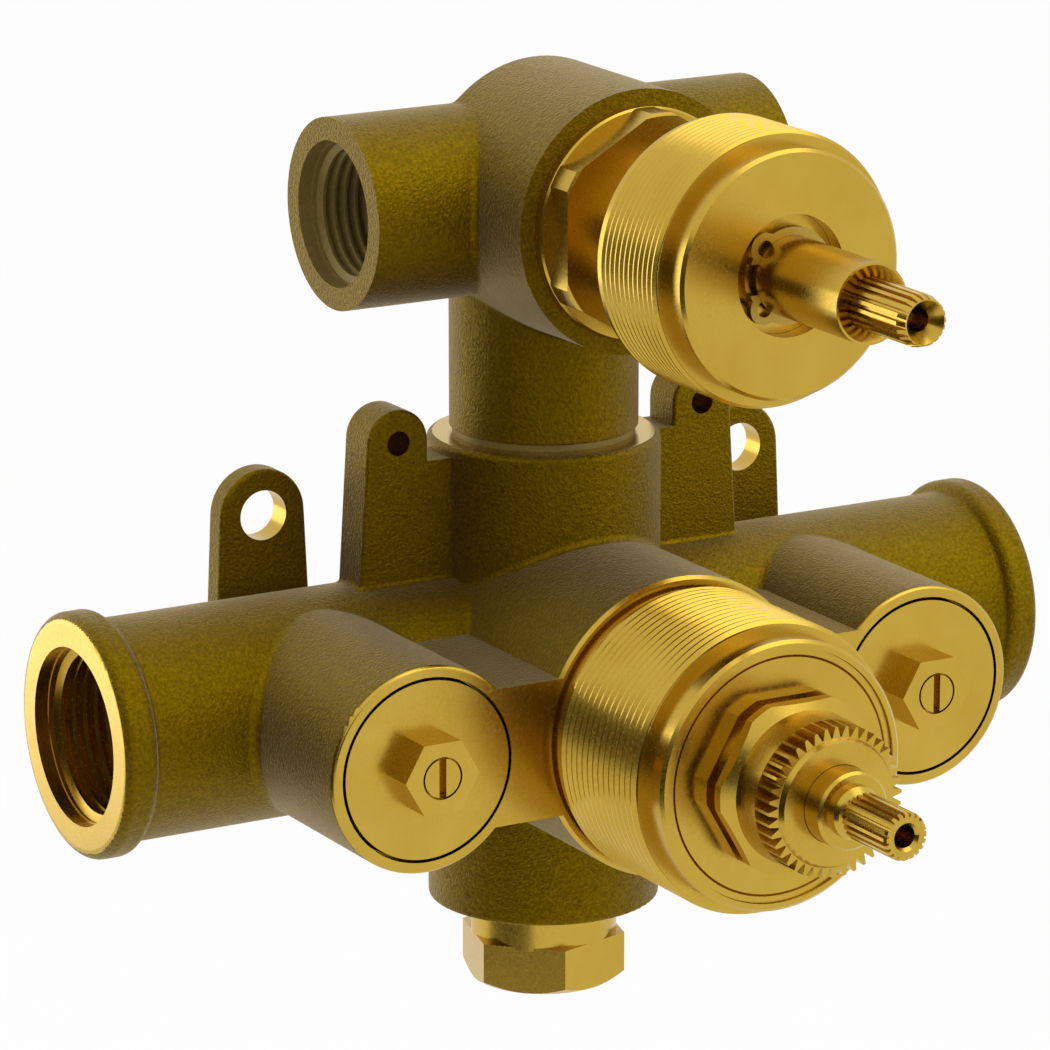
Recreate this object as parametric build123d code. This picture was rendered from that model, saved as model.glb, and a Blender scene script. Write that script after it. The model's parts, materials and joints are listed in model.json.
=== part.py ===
from build123d import *
import os
from math import cos, pi, radians, sin, sqrt

"""Concealed thermostatic shower valve with a two-way diverter above it, in millimetres.

The shapes are made about the crossing of the inlet axis and the upright axis. They are
written in the stored frame, whose origin lies between the two wall holes on the back of
the wall lugs, with +X to the right, +Y into the wall and +Z up.
A turned piece is made along its own +Z, which faces out of the wall, out of an inlet or
up, and is then placed. Stations along that axis are distances from the crossing.
"""

# Fits. A threaded pair is modelled as two plain cylinders this far apart.
THREAD_GAP = 0.05
RUNNING_GAP = 0.06
PUSH_GAP = 0.03
SEAL_GAP = 0.02

# Axes of the valve
HEAD_HEIGHT = 73.7
SIDE_OFFSET = 42.56

# Pipe threads: the female wall is stored at the thread's root
INLET_THREAD_R = 13.22
INLET_MOUTH_R = 13.4
OUTLET_THREAD_R = 10.48
OUTLET_MOUTH_R = 10.93
MOUTH_DEPTH = 2.2

# Lower casting
INLET_FACE = 79.7
RUN_R = 16.7
BEAD_R = 18.45
BEAD_LENGTH = 5.3
BEAD_ROUND = 1.6
SCREEN_SEAT_R = 12.0
SCREEN_DEPTH = 15.7
SCREEN_SEAT = INLET_FACE - SCREEN_DEPTH
SCREEN_SEAT_LENGTH = 1.4
INLET_THREAD_END = SCREEN_SEAT + SCREEN_SEAT_LENGTH
CHECK_POCKET_R = 11.15
CHECK_POCKET_LENGTH = 17.0
CHECK_POCKET_END = SCREEN_SEAT - CHECK_POCKET_LENGTH
RUN_BORE_R = 9.0
RUN_BORE_END = 34.0
BARREL_R = 17.81
BARREL_BOTTOM = -36.92
BARREL_TOP = 36.6
BARREL_ROUND = 0.95
CAST_CREASE = 1.0
LUG_CREASE = 0.8
LUG_SOFT = 0.6
HOUSING_CREASE = 1.5
BARREL_BORE_R = 13.0
BARREL_FLOOR = -29.0
FRONT_PAD = 40.23
BOSS_R = 23.0
HOUSING_R = 15.6
WEB_HALF = 10.45
PASSAGE_R = 3.8
HOT_PORT = 27.0
COLD_PORT = 18.5

# Wall lugs: the outer pair carries the valve, the inner pair carries a plaster guard
LUG_BACK = 15.4
LUG_FRONT = 11.3
LUG_REACH = 42.2
LUG_HEIGHT = 26.1
LUG_HOLE_R = 3.85
LUG_END_R = 7.1
LUG_FOOT_HALF = 8.1
GUARD_BACK = 4.8
GUARD_FRONT = -2.7
GUARD_REACH = 26.6
GUARD_HEIGHT = 38.3
GUARD_HOLE_R = 1.9
GUARD_HOLE_DEPTH = 6.0
GUARD_END_R = 5.1
GUARD_FOOT = 33.6
GUARD_SHELF = 35.0

# Stop valves in the side housings
STOP_SEAT = 13.6
STOP_SEAT_R = 6.5
STOP_CHAMBER_R = 11.3
STOP_CHAMBER_END = 31.0
STOP_THREAD_R = 12.8
STOP_CAP_R = 13.4
STOP_CAP_GAP = 0.5
STOP_CAP_SEAT = 36.6
STOP_CAP_HEX = 10.5
STOP_CAP_FRONT = 44.7
STOP_SCREW_R = 2.9
STOP_SCREW_MOUTH_R = 3.2
STOP_SCREW_FLANGE_R = 5.0
STOP_TAIL_R = 2.4
STOP_SLOT = 1.15
STOP_TRAVEL = 3.4
STOP_WASHER_R = 8.6
STOP_KEY_HALF = 2.0
STOP_KEY_R = 12.3

# Check valves in the inlets, placed from the strainer's seat inwards
CHECK_SCREEN_GAP = 0.6
CHECK_LENGTH = 12.5
CHECK_SEAT_DEPTH = 3.0
CHECK_RING_DEPTH = 1.55
CHECK_OUTER = SCREEN_SEAT - CHECK_SCREEN_GAP
CHECK_INNER = CHECK_OUTER - CHECK_LENGTH
CHECK_SEAT = CHECK_OUTER - CHECK_SEAT_DEPTH
CHECK_RING = CHECK_OUTER - CHECK_RING_DEPTH
CHECK_SPOKE = 2.0
CHECK_WALL = 1.4
CHECK_SEAT_R = 6.8
CHECK_POPPET_R = 8.1
CHECK_STEM_R = 1.5

# Thermostatic cartridge
BOSS_SEAT_R = 14.1
BOSS_SEAT_START = 8.0
BOSS_THREAD_R = 17.45
BOSS_THREAD_START = 33.5
TRIM_ROOT_R = 21.45
TRIM_CREST_R = 22.08
TRIM_PITCH = 1.5
TRIM_START = 41.1
TRIM_END = 63.8
TRIM_NOSE_R = 20.26
TRIM_NOSE_END = 68.3
TRIM_POCKET_R = 19.0
NUT_FACE = 67.8
NUT_GROOVE_R = 17.65
NUT_HEX = 25.0
NUT_CORNER_R = 13.5
NUT_HEX_ONE_END = 69.5
NUT_HEX_TWO_START = 71.7
NUT_HEX_TWO_END = 73.3
NUT_NECK_R = 11.5
NUT_NECK_END = 78.9
NUT_SNOUT_R = 7.0
HUB_TEETH = 40
HUB_TIP_R = 11.2
HUB_ROOT_R = 9.7
HUB_TEETH_END = 82.4
HUB_FACE = 83.2
CARTRIDGE_R = 14.0
CARTRIDGE_BORE_R = 10.0
CARTRIDGE_STEP = 13.2
CARTRIDGE_TAIL_R = 9.5
CARTRIDGE_TAIL = -6.0
CARTRIDGE_TAIL_FLOOR = 3.0
CARTRIDGE_FLANGE_R = 16.4
CARTRIDGE_FLANGE = 44.0
CARTRIDGE_FLANGE_END = 47.0
CARTRIDGE_TOP_R = 12.5
CARTRIDGE_TOP = 64.0
PORT_RINGS = (14.9, 22.75, 32.2)
SHUTTLE_MIDDLE = (HOT_PORT + COLD_PORT) / 2
SHUTTLE_HALF = 3.75
WAX_R = 5.4

# Stems: both have the same journal, tooth count, tooth depth and screw hole
JOURNAL_R = 5.8
SPLINE_TEETH = 20
SPLINE_DEPTH = 0.6
STEM_BORE_R = 1.66
STEM_BORE_DEPTH = 10.0
RING_GROOVE = 1.3
RING_GROOVE_WIDTH = 1.7
THERMO_SPLINE_R = 3.55
THERMO_STEM_END = 87.1
THERMO_STEM_TIP = 100.5
THERMO_DRIVE_R = 4.0
THERMO_RING = 75.15

# Upper casting
NECK_R = 14.39
NECK_BOTTOM = 37.57
SPIGOT_R = 13.9
SPIGOT_BOTTOM = 26.0
NECK_BORE_R = 9.0
HEAD_BACK_R = 20.0
HEAD_FRONT_R = 19.79
HEAD_BACK = -2.31
HEAD_FRONT = 27.28
OUTLET_FACE = 35.9
OUTLET_R = 14.38
OUTLET_THREAD_END = 20.0
OUTLET_BORE_R = 8.0
OUTLET_BORE_END = 4.0
HEAD_FLOOR = 9.5
HEAD_BORE_R = 13.0
HEAD_THREAD_R = 14.6
HEAD_THREAD_START = 19.0
PORT_OFFSET = 6.5
PORT_R = 3.5

# Diverter cartridge
BONNET_FLANGE_R = 17.41
BONNET_FLANGE_END = 29.2
BONNET_HEX = 31.6
BONNET_HEX_END = 34.1
SHANK_ROOT_R = 11.4
SHANK_END = 64.0
DISC_R = 10.8
PORT_SEAL_END = 10.8
FIXED_DISC_END = 13.0
MOVING_DISC_END = 15.5
CAGE_R = 11.8
CAGE_END = 26.5
DIVERTER_SPLINE_R = 3.75
DIVERTER_STEM_END = 89.6
DIVERTER_STEM_TIP = 102.8
DIVERTER_SINK_R = 3.05
DIVERTER_SINK_DEPTH = 1.8
DIVERTER_RINGS = (30.85, 56.85)
DIVERTER_TRIM_ROOT_R = 19.5
DIVERTER_TRIM_CREST_R = 19.99
DIVERTER_TRIM_PITCH = 1.25
DIVERTER_TRIM_START = 48.76
DIVERTER_TRIM_END = 65.12
DIVERTER_NOSE_R = 18.03
DIVERTER_NOSE_END = 69.1
DIVERTER_RECESS_R = 8.83
GLAND_END = 66.2
CIRCLIP_BACK = 68.0
CIRCLIP_THICK = 1.0
CIRCLIP_GROOVE_R = 4.9
CIRCLIP_EYE = 4.3
CIRCLIP_EYE_R = 2.3
CIRCLIP_HOLE_R = 1.2

# Bottom plug
PLUG_THREAD_R = 10.9
PLUG_COLLAR_R = 11.35
PLUG_HEX_TOP = -42.8
PLUG_HEX_BOTTOM = -50.2
PLUG_HEX_CORNER_R = 13.0
PLUG_TURN = 15.0
WASHER_THICK = 0.7


def rod(r, start, end):
    """Cylinder on the local Z axis."""
    return Pos(0, 0, start) * Cylinder(r, end - start, align=(Align.CENTER, Align.CENTER, Align.MIN))


def tube(r_out, r_in, start, end):
    """Open ring on the local Z axis."""
    return rod(r_out, start, end) - rod(r_in, start - 1, end + 1)


def block(x_low, x_high, y_low, y_high, z_low, z_high):
    """Box between two corners."""
    box = Box(x_high - x_low, y_high - y_low, z_high - z_low, align=(Align.MIN, Align.MIN, Align.MIN))
    return Pos(x_low, y_low, z_low) * box


def turned(outline):
    """Solid of revolution from (radius, station) pairs."""
    face = make_face(Polyline(*[(r, 0, z) for r, z in outline], close=True))
    return revolve(face, Axis.Z, 360)


def hexagon(across, start, end, corner_r, turn=0.0):
    """Hexagonal bar with turned corners; the first corner lies on the X axis before it is turned."""
    bar = extrude(RegularPolygon(across / sqrt(3), 6), end - start)
    return (Pos(0, 0, start) * Rot(0, 0, turn) * bar) & rod(corner_r, start, end)


def toothed(teeth, tip_r, root_r, start, end, land=0.3):
    """Bar with straight serrations; land is the tip's share of one pitch."""
    pitch = 2 * pi / teeth
    points = []
    for tooth in range(teeth):
        middle = tooth * pitch
        points.append((root_r, middle - pitch * (0.5 - land * 0.3)))
        points.append((tip_r, middle - pitch * land / 2))
        points.append((tip_r, middle + pitch * land / 2))
        points.append((root_r, middle + pitch * (0.5 - land * 0.3)))
    outline = Polyline(*[(r * cos(a), r * sin(a)) for r, a in points], close=True)
    return Pos(0, 0, start) * extrude(make_face(outline), end - start)


def o_ring(inner_r, outer_r, station):
    """Rubber ring between two walls, centred on a station."""
    wire = (outer_r - inner_r) / 2
    return Pos(0, 0, station) * Torus(inner_r + wire, wire)


def coil(middle_r, wire_r, start, end, turns):
    """Compression spring between two stations."""
    low = start + wire_r
    high = end - wire_r
    path = Helix((high - low) / turns, high - low, middle_r)
    section = Plane(path @ 0, z_dir=path % 0) * Circle(wire_r)
    return Pos(0, 0, low) * sweep(section, path)


def front(shape, x=0.0, z=0.0):
    """Turns a piece's own +Z out of the wall."""
    return Pos(x, 0, z) * Rot(90, 0, 0) * shape


def right(shape, z=0.0):
    """Turns a piece's own +Z to the right."""
    return Pos(0, 0, z) * Rot(0, 90, 0) * shape


def head(shape):
    """Puts a turned piece on the diverter's axis, facing out of the wall."""
    return front(shape, 0, HEAD_HEIGHT)


def both(shape):
    """A shape on the right with its mirror image on the left."""
    return shape + mirror(shape, Plane.YZ)


def joined(base, added, crease):
    """Two cast forms in one, the crease between them rounded as the mould leaves it."""
    whole = base + added
    return fillet(new_edges(base, added, combined=whole), crease)


def ridges(root_r, crest_r, start, end, pitch):
    """Outline of the ridges of a male thread, each with a narrow flat at its root and crest."""
    fifth = pitch / 5
    points = []
    for turn in range(1, int((end - start) / pitch)):
        foot = start + turn * pitch
        points += [(root_r, foot), (crest_r, foot + 1.5 * fifth), (crest_r, foot + 2.5 * fifth),
                   (root_r, foot + 4 * fifth)]
    return points


def lug(reach, height, end_r, foot_inner, foot_outer, foot_height, back, face):
    """Plate with a rounded top about its hole, tapering out to its foot, its rims soft."""
    outline = Polyline((foot_outer, foot_height), (reach + end_r, height), (reach - end_r, height),
                       (foot_inner, foot_height), close=True)
    plate = extrude(make_face(outline) + Pos(reach, height) * Circle(end_r), back - face)
    levels = plate.edges().group_by(Axis.Z)
    rims = [edge for edge in levels[0] + levels[-1] if edge.center().Y > foot_height + 0.1]
    return Pos(0, back, 0) * Rot(90, 0, 0) * fillet(rims, LUG_SOFT)


def lower_outside():
    """Cast outside: inlet run, upright barrel, front boss, two side housings, web and lugs."""
    bead = rod(BEAD_R, INLET_FACE - BEAD_LENGTH, INLET_FACE)
    bead = fillet(bead.edges().filter_by(GeomType.CIRCLE), BEAD_ROUND)
    run = right(rod(RUN_R, -INLET_FACE + 1, INLET_FACE - 1))
    barrel = rod(BARREL_R, BARREL_BOTTOM, BARREL_TOP)
    barrel = fillet(barrel.edges().group_by(Axis.Z)[-1], BARREL_ROUND)
    barrel = fillet(barrel.edges().group_by(Axis.Z)[0], BARREL_ROUND / 2)
    boss = front(chamfer(rod(BOSS_R, 0, FRONT_PAD).edges().group_by(Axis.Z)[-1], 0.5))
    housing = fillet(rod(HOUSING_R, 0, FRONT_PAD).edges().group_by(Axis.Z)[-1], 0.7)
    web = block(-SIDE_OFFSET, SIDE_OFFSET, -FRONT_PAD, 0, -WEB_HALF, WEB_HALF)
    wall_lug = lug(LUG_REACH, LUG_HEIGHT, LUG_END_R, LUG_REACH - LUG_FOOT_HALF,
                   LUG_REACH + LUG_FOOT_HALF, 5.0, LUG_BACK, LUG_FRONT)
    guard_lug = lug(GUARD_REACH, GUARD_HEIGHT, GUARD_END_R, GUARD_REACH - GUARD_END_R,
                    GUARD_FOOT, 8.0, GUARD_BACK, GUARD_FRONT)
    shelf = block(10.0, GUARD_REACH, GUARD_FRONT, GUARD_BACK, 8.0, GUARD_SHELF)
    body = joined(run, both(right(bead)), LUG_CREASE)
    body = joined(body, both(wall_lug), LUG_CREASE)
    body = joined(body, both(guard_lug + shelf), LUG_CREASE)
    body = joined(body, both(front(housing, SIDE_OFFSET)), HOUSING_CREASE)
    return joined(body + barrel, boss, CAST_CREASE) + web


def lower_hollows():
    """Water ways, threads and pockets of the lower casting."""
    barrel = rod(BARREL_BORE_R, BARREL_FLOOR, SPIGOT_BOTTOM - 1.5)
    collar = rod(SPIGOT_R + PUSH_GAP, SPIGOT_BOTTOM - 1.5, BARREL_TOP + 1)
    plug_hole = rod(PLUG_THREAD_R + THREAD_GAP, BARREL_BOTTOM - 1, BARREL_FLOOR + 1)
    boss = rod(BOSS_SEAT_R, BOSS_SEAT_START, BOSS_THREAD_START)
    boss += rod(BOSS_THREAD_R, BOSS_THREAD_START, FRONT_PAD + 1)
    stop = rod(STOP_SEAT_R, 5.0, STOP_SEAT + 1)
    stop += rod(STOP_CHAMBER_R, STOP_SEAT, STOP_CHAMBER_END)
    stop += block(-STOP_KEY_R, STOP_KEY_R, -STOP_KEY_HALF, STOP_KEY_HALF, STOP_SEAT, STOP_CHAMBER_END)
    stop += rod(STOP_THREAD_R, STOP_CHAMBER_END, STOP_CAP_SEAT)
    stop += rod(STOP_CAP_R + STOP_CAP_GAP, STOP_CAP_SEAT, FRONT_PAD + 1)
    inlet = rod(RUN_BORE_R, RUN_BORE_END, CHECK_POCKET_END)
    inlet += rod(CHECK_POCKET_R, CHECK_POCKET_END, SCREEN_SEAT)
    inlet += rod(SCREEN_SEAT_R, SCREEN_SEAT, INLET_THREAD_END)
    inlet += rod(INLET_THREAD_R, INLET_THREAD_END, INLET_FACE - MOUTH_DEPTH)
    inlet += rod(INLET_MOUTH_R, INLET_FACE - MOUTH_DEPTH, INLET_FACE + 1)
    cold = Pos(0, -COLD_PORT, 0) * right(rod(PASSAGE_R, CARTRIDGE_BORE_R, SIDE_OFFSET - 8))
    hot = Pos(0, -HOT_PORT, 0) * right(rod(PASSAGE_R, -SIDE_OFFSET + 8, -CARTRIDGE_BORE_R))
    wall_hole = front(rod(LUG_HOLE_R, -LUG_BACK - 1, -LUG_FRONT + 1), LUG_REACH, LUG_HEIGHT)
    guard_start = -GUARD_FRONT - GUARD_HOLE_DEPTH
    guard_hole = front(rod(GUARD_HOLE_R, guard_start, -GUARD_FRONT + 1), GUARD_REACH, GUARD_HEIGHT)
    sides = both(front(stop, SIDE_OFFSET) + right(inlet) + wall_hole + guard_hole)
    return barrel + collar + plug_hole + front(boss) + cold + hot + sides


def lower_body():
    return lower_outside() - lower_hollows()


def upper_body():
    """Diverter casting: neck with its spigot, round head and two outlets."""
    neck = fillet(rod(NECK_R, NECK_BOTTOM, HEAD_HEIGHT).edges().group_by(Axis.Z)[0], 0.4)
    spigot = rod(SPIGOT_R, SPIGOT_BOTTOM, NECK_BOTTOM + 1)
    drum = head(turned([(0, HEAD_BACK), (HEAD_BACK_R, HEAD_BACK), (HEAD_FRONT_R, HEAD_FRONT),
                        (0, HEAD_FRONT)]))
    outlets = right(rod(OUTLET_R, -OUTLET_FACE, OUTLET_FACE), HEAD_HEIGHT)
    body = joined(drum, outlets, CAST_CREASE) + joined(drum, neck, CAST_CREASE) + spigot
    outlet = rod(OUTLET_BORE_R, OUTLET_BORE_END, OUTLET_THREAD_END)
    outlet += rod(OUTLET_THREAD_R, OUTLET_THREAD_END, OUTLET_FACE - MOUTH_DEPTH)
    outlet += rod(OUTLET_MOUTH_R, OUTLET_FACE - MOUTH_DEPTH, OUTLET_FACE + 1)
    chamber = rod(HEAD_BORE_R, HEAD_FLOOR, HEAD_THREAD_START)
    chamber += rod(HEAD_THREAD_R, HEAD_THREAD_START, HEAD_FRONT + 1)
    for side in (-1, 1):
        chamber += Pos(side * PORT_OFFSET, 0, 0) * rod(PORT_R, 4.0, HEAD_FLOOR + 1)
    rise = rod(NECK_BORE_R, SPIGOT_BOTTOM - 1, 57.0) + block(-6, 6, -13, -7, 52.0, HEAD_HEIGHT - 9.5)
    groove = tube(SPIGOT_R + 1, SPIGOT_R - 1.6, 30.0, 32.6)
    return body - both(right(outlet, HEAD_HEIGHT)) - head(chamber) - rise - groove


def bottom_plug():
    """Hexagon plug under the barrel, with a round collar and a chamfered foot."""
    foot = turned([(0, PLUG_HEX_TOP + 0.01), (PLUG_HEX_CORNER_R + 0.5, PLUG_HEX_TOP + 0.01),
                   (PLUG_HEX_CORNER_R + 0.5, PLUG_HEX_BOTTOM + 1.5),
                   (PLUG_HEX_CORNER_R - 1.8, PLUG_HEX_BOTTOM), (0, PLUG_HEX_BOTTOM)])
    bar = hexagon(PLUG_HEX_CORNER_R * sqrt(3), PLUG_HEX_BOTTOM, PLUG_HEX_TOP, PLUG_HEX_CORNER_R, PLUG_TURN)
    head = bar & foot
    collar = rod(PLUG_COLLAR_R, PLUG_HEX_TOP - 0.5, BARREL_BOTTOM - WASHER_THICK)
    thread = tube(PLUG_THREAD_R, PLUG_THREAD_R - 3, BARREL_BOTTOM - WASHER_THICK - 1, BARREL_FLOOR)
    return head + collar + thread


def plug_washer():
    """Flat sealing ring between the plug's collar and the barrel."""
    return tube(PLUG_COLLAR_R + 0.6, PLUG_THREAD_R + THREAD_GAP, BARREL_BOTTOM - WASHER_THICK, BARREL_BOTTOM)


def stop_cap():
    """Screwed cap flush with the pad, its hexagon in front and a bore for the slotted screw."""
    cap = rod(STOP_CAP_R, STOP_CAP_SEAT, FRONT_PAD)
    cap += hexagon(STOP_CAP_HEX, FRONT_PAD, STOP_CAP_FRONT, STOP_CAP_HEX)
    cap += tube(STOP_THREAD_R - THREAD_GAP, STOP_CHAMBER_R, STOP_CHAMBER_END, STOP_CAP_SEAT)
    cap -= rod(STOP_SCREW_R + RUNNING_GAP, STOP_CAP_SEAT - 1, STOP_CAP_FRONT)
    cap -= rod(STOP_SCREW_MOUTH_R, STOP_CAP_FRONT - 1.6, STOP_CAP_FRONT + 1)
    cap -= tube(STOP_CAP_R + 1, STOP_CAP_R - 1.5, STOP_CAP_SEAT, STOP_CAP_SEAT + 1.9)
    return cap


def stop_screw():
    """Slotted spindle that turns in the cap; its tail drives the poppet along."""
    flange_back = STOP_CAP_SEAT - 2.4
    screw = rod(STOP_SCREW_R, STOP_CAP_SEAT - 0.2, STOP_CAP_FRONT)
    screw += rod(STOP_SCREW_FLANGE_R, flange_back, STOP_CAP_SEAT - 0.1)
    screw += rod(STOP_TAIL_R, 20.4, flange_back)
    screw -= block(-STOP_SLOT / 2, STOP_SLOT / 2, -4, 4, STOP_CAP_FRONT - 2.0, STOP_CAP_FRONT + 1)
    screw -= tube(STOP_SCREW_R + 1, STOP_SCREW_R - 0.9, 39.4, 41.2)
    return screw


def stop_poppet():
    """Keyed nut with a disc that closes the seat in the side housing."""
    back = STOP_SEAT + STOP_TRAVEL
    poppet = rod(STOP_WASHER_R + 0.6, back + 1.4, back + 3.4) + rod(4.6, back + 3.4, 28.6)
    reach = STOP_KEY_R - 0.1
    half = STOP_KEY_HALF - 0.1
    keys = block(-reach, reach, -half, half, back + 1.4, back + 3.4)
    poppet += keys & rod(reach, back, back + 5)
    return poppet + rod(2.0, back + 0.2, back + 1.4) - rod(STOP_TAIL_R + RUNNING_GAP, 19.6, 29)


def stop_washer():
    back = STOP_SEAT + STOP_TRAVEL
    return tube(STOP_WASHER_R, 2.0 + SEAL_GAP, back, back + 1.4)


def check_cage():
    """Plastic barrel with a seat at its outer end and a guide for the poppet's stem."""
    r = CHECK_POCKET_R - PUSH_GAP
    reach = r - 0.5
    end = CHECK_INNER + CHECK_SPOKE
    cage = tube(r, r - CHECK_WALL, CHECK_INNER, CHECK_OUTER) + tube(r, CHECK_SEAT_R, CHECK_SEAT, CHECK_OUTER)
    spokes = block(-reach, reach, -1, 1, CHECK_INNER, end) + block(-1, 1, -reach, reach, CHECK_INNER, end)
    guide = (spokes + rod(3.2, CHECK_INNER, end)) - rod(CHECK_STEM_R + RUNNING_GAP, CHECK_INNER - 1, end + 1)
    return cage + guide - tube(r + 1, r - 1.0, CHECK_RING - 0.85, CHECK_RING + 0.85)


def check_poppet():
    """Mushroom poppet that rests on the cage's seat and lifts inwards."""
    nose_r = CHECK_SEAT_R - 0.4
    return turned([(0, CHECK_SEAT + 1.2), (nose_r, CHECK_SEAT + 1.2), (nose_r, CHECK_SEAT),
                   (CHECK_POPPET_R, CHECK_SEAT), (CHECK_POPPET_R, CHECK_SEAT - 1.4),
                   (CHECK_STEM_R, CHECK_SEAT - 2.2), (CHECK_STEM_R, CHECK_INNER), (0, CHECK_INNER)])


def check_spring():
    return coil(2.5, 0.3, CHECK_INNER + CHECK_SPOKE, CHECK_SEAT - 2.25, 3.5)


def filter_screen():
    """Shallow perforated strainer that sits on the shoulder outside the check valve."""
    screen = rod(CHECK_POCKET_R - 0.1, SCREEN_SEAT - 0.5, SCREEN_SEAT)
    screen += tube(SCREEN_SEAT_R - 0.1, CHECK_POCKET_R - 1.0, SCREEN_SEAT, SCREEN_SEAT + 0.9)
    hole = rod(1.1, SCREEN_SEAT - 1, SCREEN_SEAT + 1)
    for ring, count in ((0.0, 1), (3.2, 6), (6.4, 12), (9.0, 18)):
        for place in range(count):
            screen -= Rot(0, 0, 360 * place / count) * Pos(ring, 0, 0) * hole
    return screen


def thermo_body():
    """Cartridge barrel: two port rings, a step onto a slotted tail and a clamped flange."""
    body = turned([(CARTRIDGE_BORE_R, CARTRIDGE_STEP), (CARTRIDGE_R, CARTRIDGE_STEP),
                   (CARTRIDGE_R, CARTRIDGE_FLANGE), (CARTRIDGE_FLANGE_R, CARTRIDGE_FLANGE),
                   (CARTRIDGE_FLANGE_R, CARTRIDGE_FLANGE_END), (CARTRIDGE_TOP_R, CARTRIDGE_FLANGE_END),
                   (CARTRIDGE_TOP_R, CARTRIDGE_TOP), (CARTRIDGE_BORE_R, CARTRIDGE_TOP)])
    tail = turned([(8.2, CARTRIDGE_TAIL_FLOOR), (8.2, CARTRIDGE_STEP + 2),
                   (CARTRIDGE_BORE_R + 0.5, CARTRIDGE_STEP + 2), (CARTRIDGE_BORE_R + 0.5, CARTRIDGE_STEP),
                   (CARTRIDGE_TAIL_R, CARTRIDGE_STEP), (CARTRIDGE_TAIL_R, CARTRIDGE_TAIL),
                   (5.5, CARTRIDGE_TAIL), (5.5, CARTRIDGE_TAIL_FLOOR)])
    body += tail
    for port in (HOT_PORT, COLD_PORT):
        body -= tube(CARTRIDGE_R + 1, CARTRIDGE_R - 1.6, port - PASSAGE_R + 0.4, port + PASSAGE_R - 0.4)
    for station in PORT_RINGS:
        body -= tube(CARTRIDGE_R + 1, CARTRIDGE_R - 1.3, station - 0.75, station + 0.75)
    for quarter in range(4):
        spin = Rot(0, 0, 45 + 90 * quarter)
        body -= spin * block(6, 16, -4, 4, HOT_PORT - 1.0, HOT_PORT + 1.0)
        body -= spin * block(6, 16, -4, 4, COLD_PORT - 1.0, COLD_PORT + 1.0)
        body -= spin * block(4, 12, -3, 3, 4.5, 11.5)
    for side in (-1, 1):
        body -= block(side * 10.4 - 1.2, side * 10.4 + 1.2, -1.6, 1.6, 38.0, CARTRIDGE_TOP + 1)
    return body


def trim_sleeve():
    """Threaded sleeve screwed into the front boss; it holds the cartridge and the wall trim."""
    inner = CARTRIDGE_R + 0.3
    start = BOSS_THREAD_START + 1
    return turned([(inner, start), (BOSS_THREAD_R - THREAD_GAP, start),
                   (BOSS_THREAD_R - THREAD_GAP, FRONT_PAD), (TRIM_ROOT_R - 0.5, FRONT_PAD),
                   (TRIM_ROOT_R - 0.5, TRIM_START), (TRIM_ROOT_R, TRIM_START),
                   *ridges(TRIM_ROOT_R, TRIM_CREST_R, TRIM_START, TRIM_END, TRIM_PITCH),
                   (TRIM_ROOT_R, TRIM_END), (TRIM_NOSE_R, TRIM_END), (TRIM_NOSE_R, TRIM_NOSE_END - 0.5),
                   (TRIM_NOSE_R - 0.5, TRIM_NOSE_END), (TRIM_POCKET_R, TRIM_NOSE_END),
                   (TRIM_POCKET_R, CARTRIDGE_FLANGE), (inner, CARTRIDGE_FLANGE)])


def thermo_nut():
    """Cartridge nut: flange with a fine groove, two hexagons apart, neck and snout."""
    start = CARTRIDGE_FLANGE_END
    bore = JOURNAL_R + RUNNING_GAP
    flange_r = TRIM_POCKET_R - THREAD_GAP
    core = turned([(CARTRIDGE_TOP_R + 0.2, start), (flange_r, start), (flange_r, NUT_FACE),
                   (NUT_GROOVE_R + 0.35, NUT_FACE), (NUT_GROOVE_R, NUT_FACE - 0.4), (NUT_GROOVE_R, NUT_FACE),
                   (NUT_NECK_R, NUT_FACE), (NUT_NECK_R, NUT_HEX_TWO_END), (NUT_NECK_R - 0.2, NUT_NECK_END),
                   (NUT_SNOUT_R, NUT_NECK_END), (NUT_SNOUT_R, HUB_TEETH_END - 0.4),
                   (bore, HUB_TEETH_END - 0.4), (bore, CARTRIDGE_TOP + 0.5),
                   (CARTRIDGE_TOP_R + 0.2, CARTRIDGE_TOP + 0.5)])
    hex_one = hexagon(NUT_HEX, NUT_FACE, NUT_HEX_ONE_END, NUT_CORNER_R)
    hex_two = hexagon(NUT_HEX, NUT_HEX_TWO_START, NUT_HEX_TWO_END + 1, NUT_CORNER_R)
    cone = turned([(0, NUT_HEX_TWO_START), (NUT_CORNER_R + 1, NUT_HEX_TWO_START),
                   (NUT_CORNER_R + 1, NUT_HEX_TWO_END - 0.6), (NUT_NECK_R - 0.3, NUT_HEX_TWO_END + 1),
                   (0, NUT_HEX_TWO_END + 1)])
    heads = (hex_one + (hex_two & cone)) - rod(NUT_NECK_R - 1, NUT_FACE - 1, NUT_HEX_TWO_END + 2)
    return core + heads


def serrated_hub():
    """Hub pressed on the nut's snout; a temperature stop is set on its serrations."""
    hub = toothed(HUB_TEETH, HUB_TIP_R, HUB_ROOT_R, NUT_NECK_END, HUB_TEETH_END, 0.25)
    shoulder_r = HUB_ROOT_R - 0.15
    hub += turned([(0, HUB_TEETH_END - 1), (shoulder_r, HUB_TEETH_END - 1), (shoulder_r, HUB_TEETH_END),
                   (shoulder_r - 0.45, HUB_FACE), (0, HUB_FACE)])
    hub -= rod(NUT_SNOUT_R + PUSH_GAP, NUT_NECK_END - 1, HUB_TEETH_END - 0.4)
    return hub - rod(JOURNAL_R + RUNNING_GAP, NUT_NECK_END, HUB_FACE + 1)


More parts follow.
